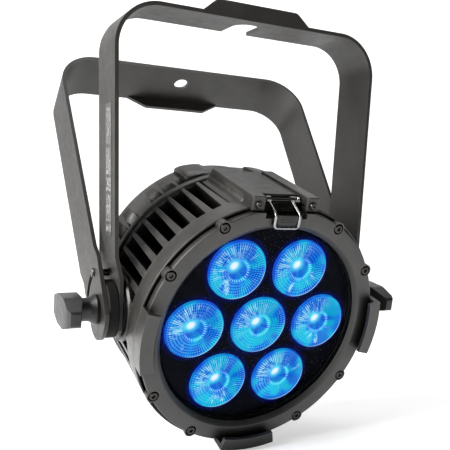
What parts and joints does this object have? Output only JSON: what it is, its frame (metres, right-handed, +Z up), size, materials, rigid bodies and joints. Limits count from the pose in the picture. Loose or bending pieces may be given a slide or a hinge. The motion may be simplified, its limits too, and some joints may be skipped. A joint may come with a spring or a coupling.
{
  "type": "par can light",
  "caption": "Round LED par can head with clustered lenses under a flat glass, finned body, accessory clips and a spring latch, held in two folding yokes by wing knobs.",
  "frame": {"origin": "middle of the hanging bolt hole, on the outer face of the hanging yoke crossbar", "axes": "+Z up as it hangs in the picture, X along the tilt axis, the beam points towards -Y and 21.1 degrees down"},
  "size_m": [0.284, 0.2253, 0.344],
  "materials": {
    "steel_coat": "textured black powder coat",
    "cast_coat": "die-cast aluminium, textured black powder coat",
    "rubber": "matte black rubber",
    "plastic": "black moulded plastic",
    "steel": "bright zinc plated",
    "black_steel": "black oxide",
    "clear": "clear",
    "lens": "clear acrylic lit blue from behind",
    "board": "circuit board with its parts",
    "screen": "dark display window"
  },
  "bodies": {
    "hanging_yoke": {"hanging_yoke": "steel_coat", "left_friction_disc": "rubber", "right_friction_disc": "rubber", "left_knob_washer": "steel", "right_knob_washer": "steel"},
    "swing_yoke": {"swing_yoke": "steel_coat", "left_stop_pin": "steel", "right_stop_pin": "steel"},
    "head": {"heat_sink": "cast_coat", "front_bezel": "cast_coat", "front_glass": "clear", "glass_gasket": "rubber", "bezel_screw_1": "black_steel", "bezel_screw_2": "black_steel", "bezel_screw_3": "black_steel", "bezel_screw_4": "black_steel", "bezel_screw_5": "black_steel", "bezel_screw_6": "black_steel", "bezel_screw_7": "black_steel", "bezel_screw_8": "black_steel", "lens_plate": "plastic", "led_board": "board", "lens_1": "lens", "lens_2": "lens", "lens_3": "lens", "lens_4": "lens", "lens_5": "lens", "lens_6": "lens", "lens_7": "lens", "latch_pin": "black_steel", "latch_spring": "steel", "latch_screw_left": "black_steel", "latch_screw_right": "black_steel", "rear_gasket": "rubber", "rear_cover": "cast_coat", "driver_board": "board", "control_board": "board", "display_window": "screen", "power_inlet": "plastic", "power_outlet": "plastic", "dmx_inlet": "plastic", "dmx_outlet": "plastic", "vent_valve": "plastic", "safety_eye": "steel", "rear_cover_screw_1": "black_steel", "rear_cover_screw_2": "black_steel", "rear_cover_screw_3": "black_steel", "rear_cover_screw_4": "black_steel", "left_inner_washer": "rubber", "right_inner_washer": "rubber"},
    "left_knob": {"left_knob": "plastic", "left_knob_stud": "steel"},
    "right_knob": {"right_knob": "plastic", "right_knob_stud": "steel"},
    "latch": {"latch_bail": "steel", "latch_tab": "plastic"},
    "button_1": {"button_1": "rubber"},
    "button_2": {"button_2": "rubber"},
    "button_3": {"button_3": "rubber"},
    "button_4": {"button_4": "rubber"}
  },
  "joints": [
    {"name": "head_tilt", "type": "hinge", "parent": "hanging_yoke", "child": "head", "pos_m": [0, -0.1218, -0.20761], "axis": [1, 0, 0], "range_deg": [-100, 100]},
    {"name": "swing_yoke_fold", "type": "hinge", "parent": "hanging_yoke", "child": "swing_yoke", "pos_m": [0, -0.1218, -0.20761], "axis": [1, 0, 0], "range_deg": [-35.7, 0]},
    {"name": "left_knob_turn", "type": "hinge", "parent": "head", "child": "left_knob", "pos_m": [-0.13, -0.1218, -0.20761], "axis": [1, 0, 0], "continuous": true},
    {"name": "right_knob_turn", "type": "hinge", "parent": "head", "child": "right_knob", "pos_m": [0.13, -0.1218, -0.20761], "axis": [1, 0, 0], "continuous": true},
    {"name": "latch_lift", "type": "hinge", "parent": "head", "child": "latch", "pos_m": [0, -0.18945, -0.12813], "axis": [1, 0, 0], "range_deg": [-80, 0], "stiffness_Nm_per_rad": 0.02, "springref_deg": 20.05},
    {"name": "button_1_press", "type": "slide", "parent": "head", "child": "button_1", "axis": [0, -0.933, -0.36], "range_m": [0, 0.0015], "stiffness_N_per_m": 400},
    {"name": "button_2_press", "type": "slide", "parent": "head", "child": "button_2", "axis": [0, -0.933, -0.36], "range_m": [0, 0.0015], "stiffness_N_per_m": 400},
    {"name": "button_3_press", "type": "slide", "parent": "head", "child": "button_3", "axis": [0, -0.933, -0.36], "range_m": [0, 0.0015], "stiffness_N_per_m": 400},
    {"name": "button_4_press", "type": "slide", "parent": "head", "child": "button_4", "axis": [0, -0.933, -0.36], "range_m": [0, 0.0015], "stiffness_N_per_m": 400}
  ]
}
